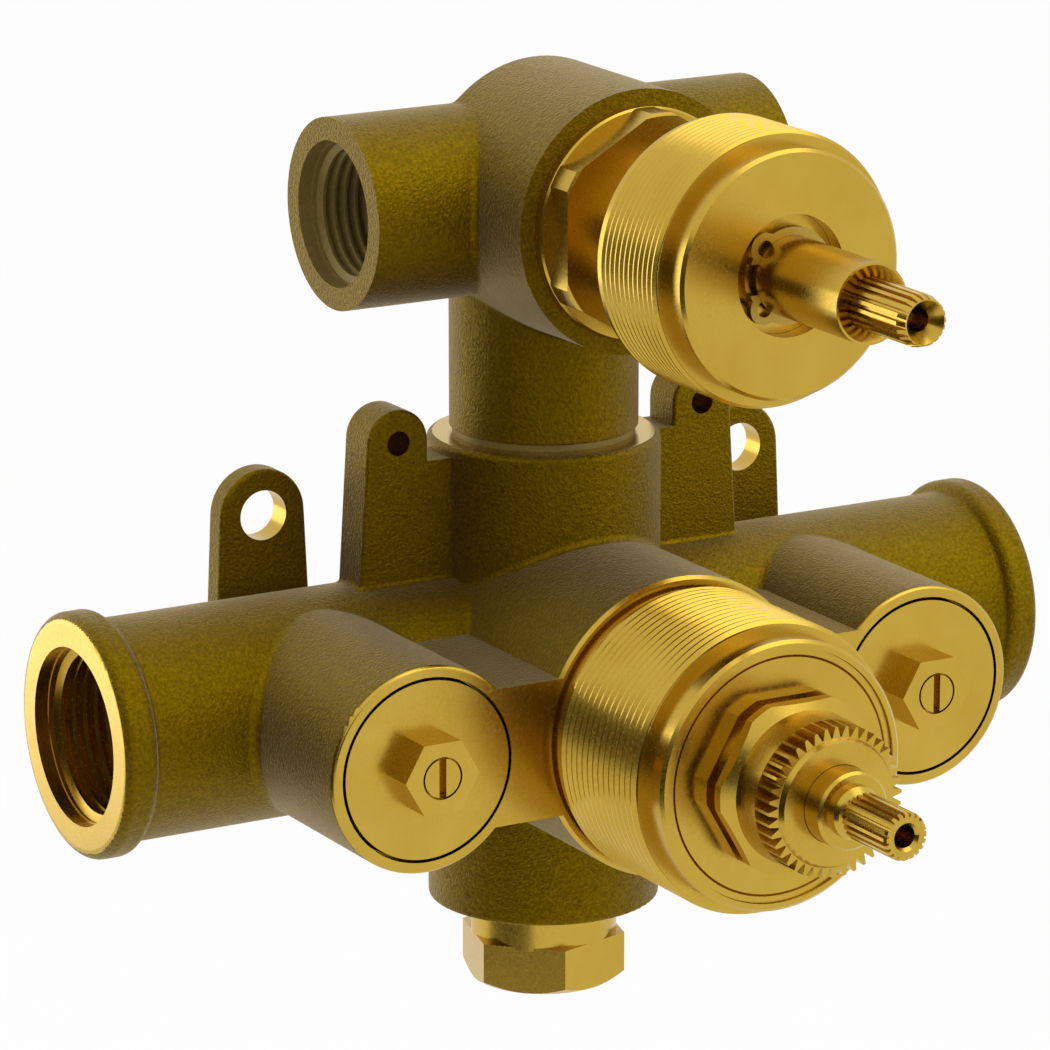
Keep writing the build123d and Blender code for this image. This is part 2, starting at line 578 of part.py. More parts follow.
def spline_end(tip_r, start, tip, edge, edge_depth):
    """Splined end of a stem, its tip chamfered."""
    spline = toothed(SPLINE_TEETH, tip_r, tip_r - SPLINE_DEPTH, start, tip, 0.45)
    bevel = turned([(0, start), (tip_r, start), (tip_r, tip - edge_depth), (tip_r - edge, tip), (0, tip)])
    return spline & bevel


def screw_hole(tip, sink_r, sink_depth):
    """Hole for the handle's screw, countersunk."""
    return turned([(0, tip - STEM_BORE_DEPTH - 1.0), (STEM_BORE_R, tip - STEM_BORE_DEPTH),
                   (STEM_BORE_R, tip - sink_depth), (sink_r, tip), (sink_r, tip + 1), (0, tip + 1)])


def ring_groove(station):
    """Groove round a stem for its seal."""
    half = RING_GROOVE_WIDTH / 2
    return tube(JOURNAL_R + 1, JOURNAL_R - RING_GROOVE, station - half, station + half)


def thermo_stem():
    """Thermostat spindle: drive thread inside, flange, plain journal, collar and spline."""
    root = THERMO_SPLINE_R - SPLINE_DEPTH
    stem = turned([(0, 52.0), (THERMO_DRIVE_R, 52.0), (THERMO_DRIVE_R, 60.5), (9.6, 60.5), (9.6, 64.2),
                   (JOURNAL_R, 64.2), (JOURNAL_R, THERMO_STEM_END - 0.4), (JOURNAL_R - 0.4, THERMO_STEM_END),
                   (3.95, THERMO_STEM_END), (3.95, 88.0), (3.5, 88.6), (root, 88.9), (root, 90.0), (0, 90.0)])
    stem += spline_end(THERMO_SPLINE_R, 89.7, THERMO_STEM_TIP, 0.25, 0.5)
    return stem - screw_hole(THERMO_STEM_TIP, 2.1, 0.5) - ring_groove(THERMO_RING)


def drive_nut():
    """Keyed cup that the spindle screws along the cartridge."""
    nut = tube(9.7, THERMO_DRIVE_R + RUNNING_GAP, 50.6, 57.6) + tube(9.7, 7.2, 40.6, 50.6)
    for side in (-1, 1):
        nut += block(side * 10.2 - 1.0, side * 10.2 + 1.0, -1.4, 1.4, 44.0, 57.6)
    return nut


def overload_spring():
    return coil(5.6, 0.6, 41.0, 50.5, 5)


def wax_element():
    """Thermostat element: bulb, wide collar and the cap its piston pushes through."""
    return turned([(0, 1.0), (3.0, 1.0), (3.4, 1.6), (3.4, 20.0), (WAX_R, 20.0), (WAX_R, 29.5), (3.0, 31.0),
                   (3.0, 36.5), (1.6, 36.5), (1.6, 40.0), (6.8, 40.0), (6.8, 41.0), (0, 41.0)])


def shuttle():
    """Ring that shares its travel between the hot slots in front and the cold ones behind."""
    back = SHUTTLE_MIDDLE - SHUTTLE_HALF
    ring = tube(CARTRIDGE_BORE_R - RUNNING_GAP, 8.3, back, SHUTTLE_MIDDLE + SHUTTLE_HALF)
    for third in range(3):
        spoke = block(WAX_R + 0.4, 8.6, -1.1, 1.1, SHUTTLE_MIDDLE - 1.2, SHUTTLE_MIDDLE + 1.2)
        ring += Rot(0, 0, 120 * third) * spoke
    return ring + tube(WAX_R + 1.2, WAX_R + PUSH_GAP, SHUTTLE_MIDDLE - 2.4, SHUTTLE_MIDDLE + 2.4)


def shuttle_spring():
    """Return spring between the barrel's tail and the shuttle's spokes."""
    return coil(7.3, 0.5, CARTRIDGE_TAIL_FLOOR, SHUTTLE_MIDDLE - 1.2, 6)


def port_ring(station):
    return o_ring(CARTRIDGE_R - 1.3, BOSS_SEAT_R - SEAL_GAP, station)


def stem_ring(station):
    return o_ring(JOURNAL_R - RING_GROOVE, JOURNAL_R + RUNNING_GAP - SEAL_GAP, station)


def diverter_bonnet():
    """Bonnet: thread in the head, round flange, hexagon with turned corners, long threaded shank."""
    bore = JOURNAL_R + RUNNING_GAP
    core = turned([(CAGE_R + 0.1, HEAD_THREAD_START), (HEAD_THREAD_R - THREAD_GAP, HEAD_THREAD_START),
                   (HEAD_THREAD_R - THREAD_GAP, HEAD_FRONT), (BONNET_FLANGE_R, HEAD_FRONT),
                   (BONNET_FLANGE_R, BONNET_FLANGE_END - 0.3), (BONNET_FLANGE_R - 0.3, BONNET_FLANGE_END),
                   (SHANK_ROOT_R, BONNET_FLANGE_END), (SHANK_ROOT_R, SHANK_END),
                   (DIVERTER_RECESS_R, SHANK_END),
                   (DIVERTER_RECESS_R, 60.0), (bore, 60.0), (bore, CAGE_END), (CAGE_R + 0.1, CAGE_END)])
    bar = hexagon(BONNET_HEX, BONNET_FLANGE_END, BONNET_HEX_END, BONNET_FLANGE_R, 30)
    edge = turned([(0, BONNET_FLANGE_END), (BONNET_FLANGE_R + 1, BONNET_FLANGE_END),
                   (BONNET_FLANGE_R + 1, BONNET_HEX_END - 0.5), (BONNET_FLANGE_R - 0.5, BONNET_HEX_END),
                   (0, BONNET_HEX_END)])
    return core + ((bar & edge) - rod(SHANK_ROOT_R - 1, BONNET_FLANGE_END - 1, BONNET_HEX_END + 1))


def diverter_trim():
    """Threaded trim sleeve on the shank, with a closed nose around the stem."""
    return turned([(SHANK_ROOT_R + THREAD_GAP, DIVERTER_TRIM_START),
                   (DIVERTER_TRIM_ROOT_R, DIVERTER_TRIM_START),
                   *ridges(DIVERTER_TRIM_ROOT_R, DIVERTER_TRIM_CREST_R, DIVERTER_TRIM_START,
                           DIVERTER_TRIM_END, DIVERTER_TRIM_PITCH),
                   (DIVERTER_TRIM_ROOT_R, DIVERTER_TRIM_END), (DIVERTER_NOSE_R, DIVERTER_TRIM_END),
                   (DIVERTER_NOSE_R, DIVERTER_NOSE_END - 0.5), (DIVERTER_NOSE_R - 0.5, DIVERTER_NOSE_END),
                   (DIVERTER_RECESS_R, DIVERTER_NOSE_END), (DIVERTER_RECESS_R, SHANK_END + 0.1),
                   (SHANK_ROOT_R + THREAD_GAP, SHANK_END + 0.1)])


def diverter_gland():
    """Ring in the mouth of the shank; the circlip bears on its collar."""
    gland = tube(DIVERTER_RECESS_R - PUSH_GAP, JOURNAL_R + RUNNING_GAP, 62.0, GLAND_END)
    return gland + tube(JOURNAL_R + 1.2, JOURNAL_R + RUNNING_GAP, GLAND_END - 0.5, CIRCLIP_BACK - 0.05)


def stem_circlip():
    """Retaining ring in its groove round the stem, with an eye at each side of the gap."""
    end = CIRCLIP_BACK + CIRCLIP_THICK
    ring = rod(JOURNAL_R + 1.2, CIRCLIP_BACK, end) - block(-9, 0, -2.2, 2.2, CIRCLIP_BACK - 1, end + 1)
    for side in (-1, 1):
        eye = Pos(-CIRCLIP_EYE, side * CIRCLIP_EYE, 0)
        ring += eye * rod(CIRCLIP_EYE_R, CIRCLIP_BACK, end)
        ring -= eye * rod(CIRCLIP_HOLE_R, CIRCLIP_BACK - 1, end + 1)
    return ring - rod(CIRCLIP_GROOVE_R + PUSH_GAP, CIRCLIP_BACK - 1, end + 1)


def diverter_stem():
    """Diverter spindle: half-moon driver, flange, long journal, concave shoulder and spline."""
    root = DIVERTER_SPLINE_R - SPLINE_DEPTH
    stem = turned([(0, 18.9), (9.6, 18.9), (9.6, 24.2), (JOURNAL_R, 24.2), (JOURNAL_R, DIVERTER_STEM_END),
                   (JOURNAL_R - 0.35, DIVERTER_STEM_END), (root, DIVERTER_STEM_END - 1.3),
                   (0, DIVERTER_STEM_END - 1.3)])
    stem += rod(9.6, MOVING_DISC_END + 0.05, 19.0) & block(-10, 10, 2.0, 10, MOVING_DISC_END, 19.0)
    for side in (-1, 1):
        stem += Pos(side * 4.0, 5.5, 0) * rod(1.2, MOVING_DISC_END - 1.2, MOVING_DISC_END + 1)
    stem += spline_end(DIVERTER_SPLINE_R, DIVERTER_STEM_END - 1.4, DIVERTER_STEM_TIP, 0.45, 1.6)
    stem -= screw_hole(DIVERTER_STEM_TIP, DIVERTER_SINK_R, DIVERTER_SINK_DEPTH)
    stem -= tube(JOURNAL_R + 1, CIRCLIP_GROOVE_R, CIRCLIP_BACK - 0.05, CIRCLIP_BACK + CIRCLIP_THICK + 0.05)
    return stem - ring_groove(DIVERTER_RINGS[0]) - ring_groove(DIVERTER_RINGS[1])


def moving_disc():
    """Ceramic disc that turns with the stem; its one window serves either port or neither."""
    disc = rod(DISC_R, FIXED_DISC_END, MOVING_DISC_END)
    disc -= Pos(0, -PORT_OFFSET, 0) * rod(PORT_R - 0.3, FIXED_DISC_END - 1, MOVING_DISC_END + 1)
    for side in (-1, 1):
        disc -= Pos(side * 4.0, 5.5, 0) * rod(1.25, MOVING_DISC_END - 1.3, MOVING_DISC_END + 1)
    return disc


def port_plate(start, end, hole_r):
    """Disc with the two outlet ports, cut with two side notches for the cage's keys."""
    plate = rod(DISC_R, start, end)
    for side in (-1, 1):
        plate -= Pos(side * PORT_OFFSET, 0, 0) * rod(hole_r, start - 1, end + 1)
        plate -= block(-1.2, 1.2, side * DISC_R - 0.9, side * DISC_R + 0.9, start - 1, end + 1)
    return plate


def diverter_cage():
    """Plastic cage that keeps the discs in line and lets water in over them."""
    inner = DISC_R + 0.1
    cage = tube(CAGE_R, inner, HEAD_FLOOR, CAGE_END)
    cage += tube(CAGE_R, JOURNAL_R + 0.1, CAGE_END - 2.0, CAGE_END)
    for side in (-1, 1):
        cage += block(-1.05, 1.05, side * 11.1 - 0.8, side * 11.1 + 0.8, HEAD_FLOOR, FIXED_DISC_END - 0.1)
    for quarter in range(4):
        cage -= Rot(0, 0, 90 * quarter) * block(8, 14, -4.5, 4.5, MOVING_DISC_END + 0.4, 18.8)
    return cage


def spigot_ring():
    return o_ring(SPIGOT_R - 1.6, SPIGOT_R + PUSH_GAP - SEAL_GAP, 31.3)


def all_parts():
    """Every node by name, about the valve's own axes."""
    parts = {
        "lower_body": lower_body(),
        "upper_body": upper_body(),
        "spigot_ring": spigot_ring(),
        "bottom_plug": bottom_plug(),
        "plug_washer": plug_washer(),
        "thermo_body": front(thermo_body()),
        "trim_sleeve": front(trim_sleeve()),
        "thermo_nut": front(thermo_nut()),
        "serrated_hub": front(serrated_hub()),
        "thermo_stem": front(thermo_stem()),
        "thermo_stem_ring": front(stem_ring(THERMO_RING)),
        "drive_nut": front(drive_nut()),
        "overload_spring": front(overload_spring()),
        "wax_element": front(wax_element()),
        "shuttle": front(shuttle()),
        "shuttle_spring": front(shuttle_spring()),
        "rear_port_ring": front(port_ring(PORT_RINGS[0])),
        "middle_port_ring": front(port_ring(PORT_RINGS[1])),
        "front_port_ring": front(port_ring(PORT_RINGS[2])),
        "diverter_bonnet": head(diverter_bonnet()),
        "diverter_trim": head(diverter_trim()),
        "diverter_gland": head(diverter_gland()),
        "stem_circlip": head(stem_circlip()),
        "diverter_stem": head(diverter_stem()),
        "diverter_stem_ring": head(stem_ring(DIVERTER_RINGS[1])),
        "diverter_inner_ring": head(stem_ring(DIVERTER_RINGS[0])),
        "moving_disc": head(moving_disc()),
        "fixed_disc": head(port_plate(PORT_SEAL_END, FIXED_DISC_END, PORT_R - 0.3)),
        "port_seal": head(port_plate(HEAD_FLOOR, PORT_SEAL_END, PORT_R - 0.1)),
        "diverter_cage": head(diverter_cage()),
    }
    stop_pieces = {
        "stop_cap": stop_cap(),
        "stop_cap_ring": o_ring(STOP_CAP_R - 1.5, STOP_CAP_R + 0.3, STOP_CAP_SEAT + 0.95),
        "stop_screw": stop_screw(),
        "stop_screw_ring": o_ring(STOP_SCREW_R - 0.9, STOP_SCREW_R + RUNNING_GAP - SEAL_GAP, 40.3),
        "stop_poppet": stop_poppet(),
        "stop_washer": stop_washer(),
    }
    inlet_pieces = {
        "check_cage": check_cage(),
        "check_ring": o_ring(CHECK_POCKET_R - 1.0, CHECK_POCKET_R - SEAL_GAP, CHECK_RING),
        "check_poppet": check_poppet(),
        "check_spring": check_spring(),
        "filter_screen": filter_screen(),
    }
    for name, piece in stop_pieces.items():
        parts["right_" + name] = front(piece, SIDE_OFFSET)
        parts["left_" + name] = front(piece, -SIDE_OFFSET)
    for name, piece in inlet_pieces.items():
        parts["right_" + name] = right(piece)
        parts["left_" + name] = mirror(right(piece), Plane.YZ)
    return parts


os.makedirs("parts", exist_ok=True)
for name, shape in all_parts().items():
    export_step(Pos(0, -LUG_BACK, -LUG_HEIGHT) * shape, "parts/" + name + ".step")
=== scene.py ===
import json
import math

import bpy
from mathutils import Matrix, Vector


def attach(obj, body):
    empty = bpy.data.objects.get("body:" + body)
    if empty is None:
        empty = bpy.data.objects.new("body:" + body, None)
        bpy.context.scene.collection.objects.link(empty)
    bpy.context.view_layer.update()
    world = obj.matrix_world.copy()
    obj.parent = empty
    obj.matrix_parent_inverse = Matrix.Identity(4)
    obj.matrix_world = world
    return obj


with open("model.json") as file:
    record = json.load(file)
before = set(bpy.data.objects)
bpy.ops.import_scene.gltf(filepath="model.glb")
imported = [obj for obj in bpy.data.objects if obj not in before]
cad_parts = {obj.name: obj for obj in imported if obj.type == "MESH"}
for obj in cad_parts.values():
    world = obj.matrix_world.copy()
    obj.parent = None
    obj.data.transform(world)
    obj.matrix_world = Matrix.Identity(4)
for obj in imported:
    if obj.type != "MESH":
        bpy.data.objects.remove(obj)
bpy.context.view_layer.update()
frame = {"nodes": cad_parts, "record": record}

# Places on the valve, in millimetres. In the stored frame the inlets' axis lies at y = -BACK and z = -HEIGHT,
# and the outlets' axis HEAD_HEIGHT above it. The front faces -Y, and X is measured from the middle.
BACK = 15.4
HEIGHT = 26.1
HEAD_HEIGHT = 73.7
HOUSING_X = 42.56
LUG_X = 42.2
GUARD_X = 26.6
GUARD_Z = 12.2

# Planes past which a face of the lower casting has met a tool, each set just inside the cut face. The last
# two count only near the axis of an inlet or a housing.
PAD_CUT_Y = -55.03
INLET_CUT_X = 79.6
COLLAR_CUT_Z = 10.3
BOTTOM_CUT_Z = -62.92
INLET_BORE_X = 60.0
HOUSING_BORE_Y = -45.0

# The same for the diverter casting: its spigot lies below this height over the inlets' axis, and the bore of
# an outlet lies between these distances from the middle.
SPIGOT_TOP = 37.6
OUTLET_BORE_START = 15.0
OUTLET_BORE_END = 35.8

# Radii that take in a bore's wall and leave out the cast face round it.
INLET_BORE_R = 14.0
HOUSING_BORE_R = 14.0
LUG_HOLE_R = 4.0
GUARD_HOLE_R = 2.1
COLLAR_R = 17.0
OUTLET_BORE_R = 11.2

# Limits of a normal's Y: a face below the first looks to the front, and one within the second is a wall.
FRONT_NORMAL_Y = -0.3
SIDE_NORMAL_Y = 0.5

# Female pipe threads, in millimetres. The ridge's half widths at its foot and its crest are shares of the
# pitch, and its half width on the wall is a share of the foot's. The foot is sunk in the wall.
PIPE_PITCH = 1.814
FOOT_SHARE = 0.46
WALL_SHARE = 0.96
CREST_SHARE = 0.12
RIDGE_SINK = 0.08
FADE_TURNS = 0.15
SHARP_DEGREES = 32

# Values between which most of a noise texture lies.
NOISE_LOW = 0.3
NOISE_HIGH = 0.7

# The photograph's view, fitted to the valve's straight edges and circles. Angles are in degrees, the distance
# and the centre in metres, the focal length in pixels of the frame, and the sensor in millimetres.
VIEW_AZIMUTH = -29.905
VIEW_ELEVATION = 14.977
VIEW_DISTANCE = 0.8626
VIEW_CENTRE = (-0.003275, -0.0154, -0.004084)
FOCAL_PIXELS = 5664.2
FRAME_PIXELS = 1050
SENSOR_WIDTH = 36.0


def linear(code):
    """Linear colour of an sRGB hex code."""
    parts = [int(code[i:i + 2], 16) / 255 for i in (1, 3, 5)]
    return [p / 12.92 if p <= 0.04045 else ((p + 0.055) / 1.055) ** 2.4 for p in parts] + [1.0]


def add(tree, kind, links=None, values=None, **settings):
    """Adds a node to a tree, sets its properties and sockets, and links its inputs."""
    node = tree.nodes.new(kind)
    for name, value in settings.items():
        setattr(node, name, value)
    for name, value in (values or {}).items():
        node.inputs[name].default_value = value
    for name, source in (links or {}).items():
        tree.links.new(source, node.inputs[name])
    return node


def per_metre(size_mm):
    """Texture scale at which a noise cell is about this many millimetres."""
    return 1000.0 / size_mm


def new_material(name):
    """Empty material and its tree of nodes."""
    material = bpy.data.materials.new(name)
    material.use_nodes = True
    material.node_tree.nodes.clear()
    return material, material.node_tree


def speckle(tree, size_mm, detail=3.0, roughness=0.55):
    """Noise whose cells are this many millimetres on the object."""
    place = add(tree, "ShaderNodeTexCoord")
    return add(tree, "ShaderNodeTexNoise", {"Vector": place.outputs["Object"]},
               {"Scale": per_metre(size_mm), "Detail": detail, "Roughness": roughness})


def blend_colours(tree, factor, low, high, start=NOISE_LOW, end=NOISE_HIGH):
    """Colour that goes from one hex code to another as a factor goes from start to end."""
    ramp = add(tree, "ShaderNodeValToRGB", {"Fac": factor})
    ramp.color_ramp.elements[0].position = start
    ramp.color_ramp.elements[0].color = linear(low)
    ramp.color_ramp.elements[1].position = end
    ramp.color_ramp.elements[1].color = linear(high)
    return ramp.outputs["Color"]


def vary_roughness(tree, factor, smooth, dull):
    """Roughness that goes from smooth to dull with a noise."""
    span = add(tree, "ShaderNodeMapRange", {"Value": factor},
               {"From Min": NOISE_LOW, "From Max": NOISE_HIGH, "To Min": smooth, "To Max": dull})
    return span.outputs["Result"]


def finish_surface(tree, links, values):
    """Ends a material with its surface."""
    shader = add(tree, "ShaderNodeBsdfPrincipled", links, values)
    add(tree, "ShaderNodeOutputMaterial", {"Surface": shader.outputs["BSDF"]})


def sand_cast_brass():
    """Shot-blasted sand casting: brown gold and grainy, with a pale dusty sheen where it turns away."""
    material, tree = new_material("sand_cast_brass")
    grain = speckle(tree, 0.5, 3.0, 0.6)
    sand = speckle(tree, 0.33, 2.0)
    patches = speckle(tree, 6.0, 4.0)
    colour = blend_colours(tree, grain.outputs["Fac"], "#665000", "#8E7206", 0.35, 0.65)
    tone = blend_colours(tree, patches.outputs["Fac"], "#765E00", "#806A04")
    mixed = add(tree, "ShaderNodeMix", {"A": colour, "B": tone}, {"Factor": 0.3}, data_type="RGBA")
    rough = vary_roughness(tree, sand.outputs["Fac"], smooth=0.45, dull=0.62)
    coarse = add(tree, "ShaderNodeBump", {"Height": grain.outputs["Fac"]},
                 {"Strength": 0.7, "Distance": 0.00025})
    fine = add(tree, "ShaderNodeBump", {"Height": sand.outputs["Fac"], "Normal": coarse.outputs["Normal"]},
               {"Strength": 0.75, "Distance": 0.0002})
    finish_surface(tree, {"Base Color": mixed.outputs["Result"], "Roughness": rough,
                          "Normal": fine.outputs["Normal"]},
                   {"Metallic": 1.0, "Sheen Weight": 0.9, "Sheen Roughness": 0.3,
                    "Sheen Tint": linear("#F0DCB4")})
    return material


def turned_brass():
    """Turned brass: satin gold, with faint cutter marks that only soften the reflections."""
    material, tree = new_material("turned_brass")
    # The cutter's marks are drawn coarser than real, so that they show.
    marks = speckle(tree, 0.5, 2.0)
    stain = speckle(tree, 14.0, 3.0)
    colour = blend_colours(tree, stain.outputs["Fac"], "#BE9C3A", "#C8A744")
    rough = vary_roughness(tree, marks.outputs["Fac"], smooth=0.20, dull=0.28)
    bump = add(tree, "ShaderNodeBump", {"Height": marks.outputs["Fac"]},
               {"Strength": 0.03, "Distance": 0.00004})
    finish_surface(tree, {"Base Color": colour, "Roughness": rough, "Normal": bump.outputs["Normal"]},
                   {"Metallic": 1.0})
    return material


def bored_brass_painted_light():
    """Bored and tapped brass left dull, in an olive tone that paints light into the bores' shade, so the
    thread still shows deep inside an outlet.
    """
    material, tree = new_material("bored_brass_painted_light")
    # The marks are drawn coarser than real here too.
    marks = speckle(tree, 0.6, 2.0)
    # Painted light: this olive colour, half matt (Metallic 0.45), lifts the shade inside the bores.
    colour = blend_colours(tree, marks.outputs["Fac"], "#86733A", "#958244")
    rough = vary_roughness(tree, marks.outputs["Fac"], smooth=0.38, dull=0.5)
    bump = add(tree, "ShaderNodeBump", {"Height": marks.outputs["Fac"]},
               {"Strength": 0.1, "Distance": 0.00004})
    finish_surface(tree, {"Base Color": colour, "Roughness": rough, "Normal": bump.outputs["Normal"]},
                   {"Metallic": 0.45})
    return material


def plain(name, low, high, metallic, smooth, dull, size_mm, depth):
    """Finish of a small piece: two near colours and a light texture, drawn coarser than real to show."""
    material, tree = new_material(name)
    texture = speckle(tree, size_mm)
    colour = blend_colours(tree, texture.outputs["Fac"], low, high)
    rough = vary_roughness(tree, texture.outputs["Fac"], smooth, dull)
    bump = add(tree, "ShaderNodeBump", {"Height": texture.outputs["Fac"]},
               {"Strength": 0.3, "Distance": depth})
    finish_surface(tree, {"Base Color": colour, "Roughness": rough, "Normal": bump.outputs["Normal"]},
                   {"Metallic": metallic})
    return material


CAST = sand_cast_brass()
TURNED = turned_brass()
# bored brass whose olive, half-matt tone is painted light in the bores
BORED_PAINTED_LIGHT = bored_brass_painted_light()
# moulded EPDM rubber: near black, dull
RUBBER = plain("moulded_epdm", "#191919", "#232323", metallic=0.0, smooth=0.55, dull=0.7,
               size_mm=0.6, depth=0.00004)
# drawn spring steel: grey, with fine lines
STEEL = plain("drawn_spring_steel", "#8E8C86", "#A5A39C", metallic=1.0, smooth=0.25, dull=0.4,
              size_mm=0.4, depth=0.00002)
# spring bronze of the circlip: yellower and duller than the turned brass round it
BRONZE = plain("spring_bronze", "#A98A3C", "#B89A4A", metallic=1.0, smooth=0.28, dull=0.42,
               size_mm=0.5, depth=0.00002)
# moulded acetal: waxy off-white
ACETAL = plain("moulded_acetal", "#D9D6CB", "#E4E1D8", metallic=0.0, smooth=0.38, dull=0.48,
               size_mm=1.5, depth=0.00002)
# drawn copper of the wax element: reddish, slightly dulled
COPPER = plain("drawn_copper", "#B8734A", "#C98257", metallic=1.0, smooth=0.28, dull=0.4,
               size_mm=2.0, depth=0.00002)
# lapped alumina of the discs: white and glossy
ALUMINA = plain("lapped_alumina", "#F0EEE6", "#F6F4EE", metallic=0.0, smooth=0.08, dull=0.14,
                size_mm=3.0, depth=0.000005)

FINISHES = {"cast_brass": CAST, "machined_brass": TURNED, "rubber": RUBBER, "spring_steel": STEEL,
            "plastic": ACETAL, "element": COPPER, "ceramic": ALUMINA}


def cut_on_lower_body(point, normal):
    """True where the lower casting is machined: pad, inlets, lug holes, barrel's ends, housings' bores."""
    x, y, z = abs(point.x), point.y, point.z
    if y < PAD_CUT_Y and normal.y < FRONT_NORMAL_Y:
        return True
    if x > INLET_CUT_X or (x > INLET_BORE_X and math.hypot(y + BACK, z + HEIGHT) < INLET_BORE_R):
        return True
    in_lug_hole = math.hypot(x - LUG_X, z) < LUG_HOLE_R
    in_guard_hole = math.hypot(x - GUARD_X, z - GUARD_Z) < GUARD_HOLE_R
    if (in_lug_hole or in_guard_hole) and abs(normal.y) < SIDE_NORMAL_Y:
        return True
    if z > COLLAR_CUT_Z and math.hypot(x, y + BACK) < COLLAR_R:
        return True
    if z < BOTTOM_CUT_Z:
        return True
    return y < HOUSING_BORE_Y and math.hypot(x - HOUSING_X, z + HEIGHT) < HOUSING_BORE_R


def cut_on_upper_body(point, normal):
    """True on the diverter casting's spigot and in its outlets' bores, whichever way the face looks."""
    x, y, z = abs(point.x), point.y + BACK, point.z + HEIGHT
    if z < SPIGOT_TOP:
        return True
    return OUTLET_BORE_START < x < OUTLET_BORE_END and math.hypot(y, z - HEAD_HEIGHT) < OUTLET_BORE_R


def dress(nodes, record):
    """Gives each CAD node its finish, and each casting a second finish on its machined faces."""
    slots = {entry["node"]: entry["material_slot"] for entry in record["subparts"]}
    # The diverter casting's cut faces get the bored brass, whose olive tone is painted light in its bores.
    cut = {"lower_body": (TURNED, cut_on_lower_body), "upper_body": (BORED_PAINTED_LIGHT, cut_on_upper_body)}
    for name, node in nodes.items():
        node.data.materials.clear()
        node.data.materials.append(BRONZE if name == "stem_circlip" else FINISHES[slots[name]])
        if name in cut:
            finish, is_cut = cut[name]
            node.data.materials.append(finish)
            for face in node.data.polygons:
                face.material_index = int(is_cut(face.center * 1000, face.normal))


def thread_ridge(name, body, place, root_r, crest_r, start, end, pitch, material, steps):
    """Female thread: one ridge wound along the local Z axis, sunk in its wall and fading at both ends."""
    half_root = pitch * FOOT_SHARE
    half_wall = half_root * WALL_SHARE
    half_crest = pitch * CREST_SHARE
    sunk_r = root_r + RIDGE_SINK
    turns = (end - start - 2 * half_root) / pitch
    count = int(turns * steps)
    points = []
    for step in range(count + 1):
        angle = 2 * math.pi * step / steps
        z = start + half_root + pitch * step / steps
        fade = min(1.0, step / (FADE_TURNS * steps), (count - step) / (FADE_TURNS * steps))
        crest = root_r + (crest_r - root_r) * fade
        profile = ((sunk_r, -half_root), (root_r, -half_wall), (crest, -half_crest),
                   (crest, half_crest), (root_r, half_wall), (sunk_r, half_root))
        for r, offset in profile:
            points.append((r * math.cos(angle) / 1000, r * math.sin(angle) / 1000, (z + offset) / 1000))
    wide = len(profile)
    faces = []
    for step in range(count):
        for side in range(wide):
            a = step * wide + side
            b = step * wide + (side + 1) % wide
            faces.append((a, a + wide, b + wide, b))
    first = list(range(wide))
    last = [count * wide + side for side in range(wide)]
    faces.append(first)
    faces.append(last[::-1])
    mesh = bpy.data.meshes.new(name)
    mesh.from_pydata(points, [], faces)
    mesh.transform(place)
    mesh.shade_smooth()
    mesh.set_sharp_from_angle(angle=math.radians(SHARP_DEGREES))
    mesh.materials.append(material)
    piece = bpy.data.objects.new(name, mesh)
    bpy.context.scene.collection.objects.link(piece)
    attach(piece, body)


def facing_side(sign, z):
    """Turns local +Z to the right, or to the left for a negative sign, at a height over the inlets' axis."""
    turn = Matrix.Rotation(sign * math.pi / 2, 4, "Y")
    return Matrix.Translation((0, -BACK / 1000, (z - HEIGHT) / 1000)) @ turn


def pipe_threads():
    """Ridges of the inlets' and outlets' threads, whose solids have plain holes. Sizes are in millimetres."""
    for name, sign in (("left", -1), ("right", 1)):
        thread_ridge(name + "_inlet_thread", "valve_body", facing_side(sign, 0),
                     root_r=13.22, crest_r=12.06, start=65.5, end=77.9, pitch=PIPE_PITCH,
                     material=TURNED, steps=56)
        # The outlets' ridges take the bored brass and its painted light.
        thread_ridge(name + "_outlet_thread", "valve_body", facing_side(sign, HEAD_HEIGHT),
                     root_r=10.48, crest_r=9.5, start=20.1, end=34.5, pitch=PIPE_PITCH,
                     material=BORED_PAINTED_LIGHT, steps=48)


def plane(name, width, depth, place, material):
    """Flat sheet of the studio, seen from its +Z side."""
    x, y = width / 2, depth / 2
    mesh = bpy.data.meshes.new(name)
    mesh.from_pydata([(-x, -y, 0), (x, -y, 0), (x, y, 0), (-x, y, 0)], [], [(0, 1, 2, 3)])
    mesh.materials.append(material)
    item = bpy.data.objects.new(name, mesh)
    item.matrix_world = place
    bpy.context.scene.collection.objects.link(item)
    return item


def seen_or_mirrored(tree, path):
    """1 for a ray from the camera or off a gloss, and 0 for one that gathers soft light."""
    return add(tree, "ShaderNodeMath", {0: path.outputs["Is Camera Ray"], 1: path.outputs["Is Glossy Ray"]},
               operation="ADD", use_clamp=True)


def pale_ground():
    """Matt pale floor that the camera and the metal see as nearly white, with a faint shadow."""
    material, tree = new_material("pale_ground")
    grain = speckle(tree, 30.0, 2.0)
    colour = blend_colours(tree, grain.outputs["Fac"], "#F4F4F2", "#FAFAF8")
    matt = add(tree, "ShaderNodeBsdfPrincipled", {"Base Color": colour}, {"Roughness": 0.9})
    glow = add(tree, "ShaderNodeEmission", values={"Color": linear("#FFFFFF"), "Strength": 1.0})
    seen = seen_or_mirrored(tree, add(tree, "ShaderNodeLightPath"))
    share = add(tree, "ShaderNodeMath", {0: seen.outputs["Value"]}, {1: 0.9}, operation="MULTIPLY")
    mix = add(tree, "ShaderNodeMixShader", {0: share.outputs["Value"], 1: matt.outputs["BSDF"],
                                            2: glow.outputs["Emission"]})
    add(tree, "ShaderNodeOutputMaterial", {"Surface": mix.outputs["Shader"]})
    return material


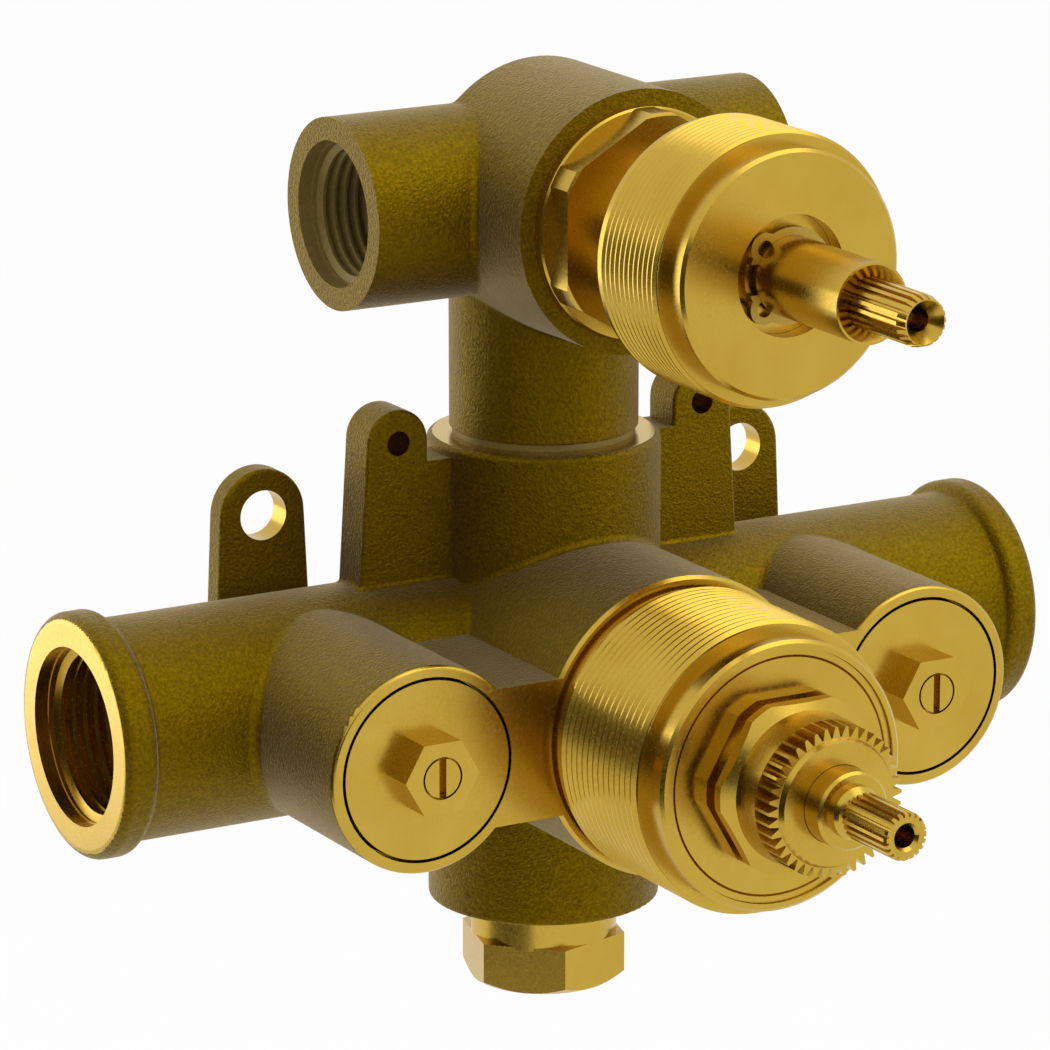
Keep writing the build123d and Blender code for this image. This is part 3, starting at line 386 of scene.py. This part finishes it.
def white_world():
    """World that is white to the camera and in the metal, and softer as a light."""
    world = bpy.data.worlds.new("studio")
    world.use_nodes = True
    tree = world.node_tree
    tree.nodes.clear()
    path = add(tree, "ShaderNodeLightPath")
    seen = seen_or_mirrored(tree, path)
    both = add(tree, "ShaderNodeMath", {0: seen.outputs["Value"], 1: path.outputs["Is Transmission Ray"]},
               operation="ADD", use_clamp=True)
    soft = add(tree, "ShaderNodeBackground", values={"Color": linear("#FFFFFF"), "Strength": 0.8})
    white = add(tree, "ShaderNodeBackground", values={"Color": linear("#FFFFFF"), "Strength": 1.0})
    mix = add(tree, "ShaderNodeMixShader", {0: both.outputs["Value"], 1: soft.outputs["Background"],
                                            2: white.outputs["Background"]})
    add(tree, "ShaderNodeOutputWorld", {"Surface": mix.outputs["Shader"]})
    bpy.context.scene.world = world


def lamp(name, place, aim, size, power):
    """Soft square lamp that the camera doesn't see, its size in metres and its power in watts."""
    data = bpy.data.lights.new(name, "AREA")
    data.shape = "SQUARE"
    data.size = size
    data.energy = power
    item = bpy.data.objects.new(name, data)
    item.location = place
    item.rotation_euler = (Vector(place) - Vector(aim)).to_track_quat("Z", "Y").to_euler()
    item.visible_camera = False
    bpy.context.scene.collection.objects.link(item)


def dark_cloth():
    """Matt dark cloth of the flags: gives the metal its darker side."""
    material, tree = new_material("dark_cloth")
    weave = speckle(tree, 2.0, 2.0)
    colour = blend_colours(tree, weave.outputs["Fac"], "#332C1E", "#3C3426")
    finish_surface(tree, {"Base Color": colour}, {"Roughness": 0.9})
    return material


def flag(name, place, aim, width, height, material):
    """Dark sheet beside the object that only its reflections show."""
    turn = (Vector(aim) - Vector(place)).to_track_quat("Z", "Y").to_matrix().to_4x4()
    item = plane(name, width, height, Matrix.Translation(place) @ turn, material)
    item.visible_camera = item.visible_diffuse = item.visible_shadow = False


def studio():
    """White room with a pale floor, two soft lamps and two dark flags. All places are in metres."""
    white_world()
    cloth = dark_cloth()
    plane("floor", width=6.0, depth=6.0, place=Matrix.Translation((0, 0, -0.35)), material=pale_ground())
    centre = (0, -0.03, 0)
    lamp("key", place=(0.5, -0.6, 0.9), aim=centre, size=1.0, power=4.0)
    # The rim lamp stands at the back left and gives the inlet's end face its pale tone.
    lamp("rim", place=(-0.56, 0.86, -0.04), aim=centre, size=0.6, power=1.7)
    flag("left_flag", place=(-0.62, -0.08, -0.02), aim=(0, -0.03, -0.02), width=1.0, height=0.64,
         material=cloth)
    flag("front_flag", place=(-0.24, -0.62, -0.01), aim=(0, -0.03, -0.01), width=0.5, height=0.26,
         material=cloth)


def camera():
    """Long lens at the photograph's viewing angle."""
    azimuth = math.radians(VIEW_AZIMUTH)
    elevation = math.radians(VIEW_ELEVATION)
    back = Vector((math.sin(azimuth) * math.cos(elevation), -math.cos(azimuth) * math.cos(elevation),
                   math.sin(elevation)))
    data = bpy.data.cameras.new("camera")
    data.sensor_width = SENSOR_WIDTH
    data.lens = SENSOR_WIDTH * FOCAL_PIXELS / FRAME_PIXELS
    data.clip_start = 0.01
    item = bpy.data.objects.new("camera", data)
    item.location = Vector(VIEW_CENTRE) + back * VIEW_DISTANCE
    item.rotation_euler = back.to_track_quat("Z", "Y").to_euler()
    bpy.context.scene.collection.objects.link(item)
    bpy.context.scene.camera = item


dress(frame["nodes"], frame["record"])
pipe_threads()
studio()
camera()
bpy.context.scene.view_settings.view_transform = "Standard"
